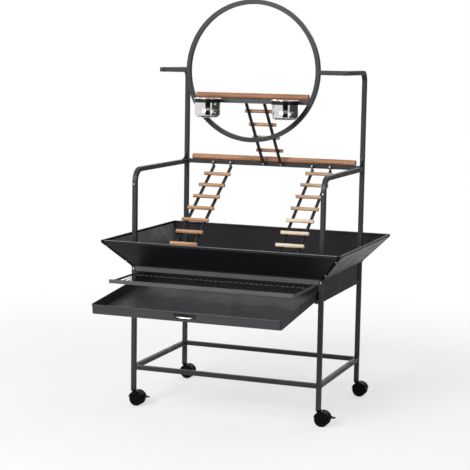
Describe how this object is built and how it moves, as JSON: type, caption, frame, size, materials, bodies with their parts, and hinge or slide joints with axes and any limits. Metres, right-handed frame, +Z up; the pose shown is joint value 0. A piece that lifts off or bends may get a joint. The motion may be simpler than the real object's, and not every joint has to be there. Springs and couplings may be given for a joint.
{
  "type": "parrot play stand",
  "caption": "Tall wheeled play stand for parrots: tube frame, hoop with perch and cups, side arches, rung ladders, flared seed pan, pull-out grate and tray.",
  "frame": {"origin": "on the floor below the middle of the whole stand as shown, with tray and grate pulled out", "axes": "+X to the stand's right seen from the front, +Y to the back, +Z up"},
  "size_m": [1.025, 1.0852, 1.7],
  "materials": {
    "frame_black": "satin black powder coat",
    "panel_black": "satin black powder coat",
    "skirt_black": "satin black powder coat",
    "corner_black": "satin black powder coat",
    "holder_black": "gloss black powder coat",
    "grate_black": "satin black powder coat",
    "wire_steel": "satin black powder coat",
    "tray_black": "satin charcoal powder coat",
    "pull_steel": "plain",
    "bright_steel": "zinc plated",
    "cup_steel": "polished stainless steel",
    "perch_wood": "smooth turned dowel",
    "ladder_rail_black": "satin black powder coat",
    "left_rung_wood": "smooth turned dowel",
    "right_rung_wood": "smooth turned dowel",
    "top_rung_wood": "smooth turned dowel",
    "roller_plastic": "plain",
    "caster_black": "moulded",
    "wheel_plastic": "moulded",
    "brake_plastic": "moulded"
  },
  "bodies": {
    "stand": {"leg_front_left": "frame_black", "leg_front_right": "frame_black", "lower_rail_front": "frame_black", "leg_back_left": "frame_black", "leg_back_right": "frame_black", "lower_rail_back": "frame_black", "lower_rail_left": "frame_black", "side_arch_left": "frame_black", "top_arm_left": "frame_black", "side_panel_left": "panel_black", "cup_holder_left": "holder_black", "lower_rail_right": "frame_black", "side_arch_right": "frame_black", "top_arm_right": "frame_black", "side_panel_right": "panel_black", "cup_holder_right": "holder_black", "back_posts": "frame_black", "ring_arms": "frame_black", "arm_gussets": "frame_black", "back_crossbar": "frame_black", "ring": "frame_black", "ring_bar": "frame_black", "housing_front_rail": "frame_black", "main_perch": "perch_wood", "ring_perch": "perch_wood", "housing_back_panel": "panel_black", "grate_runners": "panel_black", "skirt_front": "skirt_black", "skirt_right": "skirt_black", "skirt_back": "skirt_black", "skirt_left": "skirt_black", "corner_plates": "corner_black", "fittings": "bright_steel", "caster_plugs": "caster_black"},
    "rollers": {"tray_rollers": "roller_plastic"},
    "tray": {"tray": "tray_black", "tray_pull": "pull_steel"},
    "grate": {"grate_frame": "grate_black", "grate_wires": "wire_steel"},
    "left_ladder": {"left_ladder_rails": "ladder_rail_black", "left_ladder_rungs": "left_rung_wood", "left_ladder_hooks": "bright_steel"},
    "right_ladder": {"right_ladder_rails": "ladder_rail_black", "right_ladder_rungs": "right_rung_wood", "right_ladder_hooks": "bright_steel"},
    "top_ladder": {"top_ladder_rails": "ladder_rail_black", "top_ladder_rungs": "top_rung_wood", "top_ladder_hooks": "bright_steel"},
    "cup_left": {"cup_left": "cup_steel"},
    "cup_right": {"cup_right": "cup_steel"},
    "caster_front_left": {"caster_body_front_left": "caster_black"},
    "wheels_front_left": {"wheels_front_left": "wheel_plastic"},
    "caster_front_right": {"caster_body_front_right": "caster_black"},
    "wheels_front_right": {"wheels_front_right": "wheel_plastic"},
    "caster_back_left": {"caster_body_back_left": "caster_black"},
    "wheels_back_left": {"wheels_back_left": "wheel_plastic"},
    "caster_back_right": {"caster_body_back_right": "caster_black"},
    "wheels_back_right": {"wheels_back_right": "wheel_plastic"},
    "brake_left": {"brake_pedal_front_left": "brake_plastic"},
    "brake_right": {"brake_pedal_front_right": "brake_plastic"}
  },
  "joints": [
    {"name": "tray_tilt", "type": "hinge", "parent": "stand", "child": "rollers", "pos_m": [0, -0.11341, 0.5011], "axis": [-1, 0, 0], "range_deg": [0, 5.8]},
    {"name": "tray_slide", "type": "slide", "parent": "rollers", "child": "tray", "axis": [0, 0.9949, 0.1011], "range_m": [0, 0.421]},
    {"name": "grate_slide", "type": "slide", "parent": "stand", "child": "grate", "axis": [0, 1, 0], "range_m": [0, 0.271]},
    {"name": "left_ladder_lift", "type": "hinge", "parent": "stand", "child": "left_ladder", "pos_m": [-0.23, 0.41559, 0.997], "axis": [-1, 0, 0], "range_deg": [0, 30]},
    {"name": "right_ladder_lift", "type": "hinge", "parent": "stand", "child": "right_ladder", "pos_m": [0.23, 0.41559, 0.997], "axis": [-1, 0, 0], "range_deg": [0, 30]},
    {"name": "top_ladder_lift", "type": "hinge", "parent": "stand", "child": "top_ladder", "pos_m": [0.0065, 0.41559, 0.997], "axis": [-1, 0, 0], "range_deg": [0, 20]},
    {"name": "cup_left_lift", "type": "slide", "parent": "stand", "child": "cup_left", "axis": [0, 0, 1], "range_m": [0, 0.12]},
    {"name": "cup_right_lift", "type": "slide", "parent": "stand", "child": "cup_right", "axis": [0, 0, 1], "range_m": [0, 0.12]},
    {"name": "caster_front_left_swivel", "type": "hinge", "parent": "stand", "child": "caster_front_left", "pos_m": [-0.408, -0.10991, 0.05], "axis": [0, 0, 1], "continuous": true},
    {"name": "caster_front_left_roll", "type": "hinge", "parent": "caster_front_left", "child": "wheels_front_left", "pos_m": [-0.39, -0.10991, 0.03], "axis": [0, 1, 0], "continuous": true},
    {"name": "caster_front_right_swivel", "type": "hinge", "parent": "stand", "child": "caster_front_right", "pos_m": [0.408, -0.10991, 0.05], "axis": [0, 0, 1], "continuous": true},
    {"name": "caster_front_right_roll", "type": "hinge", "parent": "caster_front_right", "child": "wheels_front_right", "pos_m": [0.426, -0.10991, 0.03], "axis": [0, 1, 0], "continuous": true},
    {"name": "caster_back_left_swivel", "type": "hinge", "parent": "stand", "child": "caster_back_left", "pos_m": [-0.408, 0.4381, 0.05], "axis": [0, 0, 1], "continuous": true},
    {"name": "caster_back_left_roll", "type": "hinge", "parent": "caster_back_left", "child": "wheels_back_left", "pos_m": [-0.39, 0.4381, 0.03], "axis": [0, 1, 0], "continuous": true},
    {"name": "caster_back_right_swivel", "type": "hinge", "parent": "stand", "child": "caster_back_right", "pos_m": [0.408, 0.4381, 0.05], "axis": [0, 0, 1], "continuous": true},
    {"name": "caster_back_right_roll", "type": "hinge", "parent": "caster_back_right", "child": "wheels_back_right", "pos_m": [0.426, 0.4381, 0.03], "axis": [0, 1, 0], "continuous": true},
    {"name": "brake_left_press", "type": "hinge", "parent": "caster_front_left", "child": "brake_left", "pos_m": [-0.352, -0.10991, 0.039], "axis": [0, 1, 0], "range_deg": [0, 15]},
    {"name": "brake_right_press", "type": "hinge", "parent": "caster_front_right", "child": "brake_right", "pos_m": [0.464, -0.10991, 0.039], "axis": [0, 1, 0], "range_deg": [0, 15]}
  ],
  "couplings": [
    {"joint": "tray_tilt", "follows": "tray_slide", "rad_per_m": 0.24045}
  ]
}
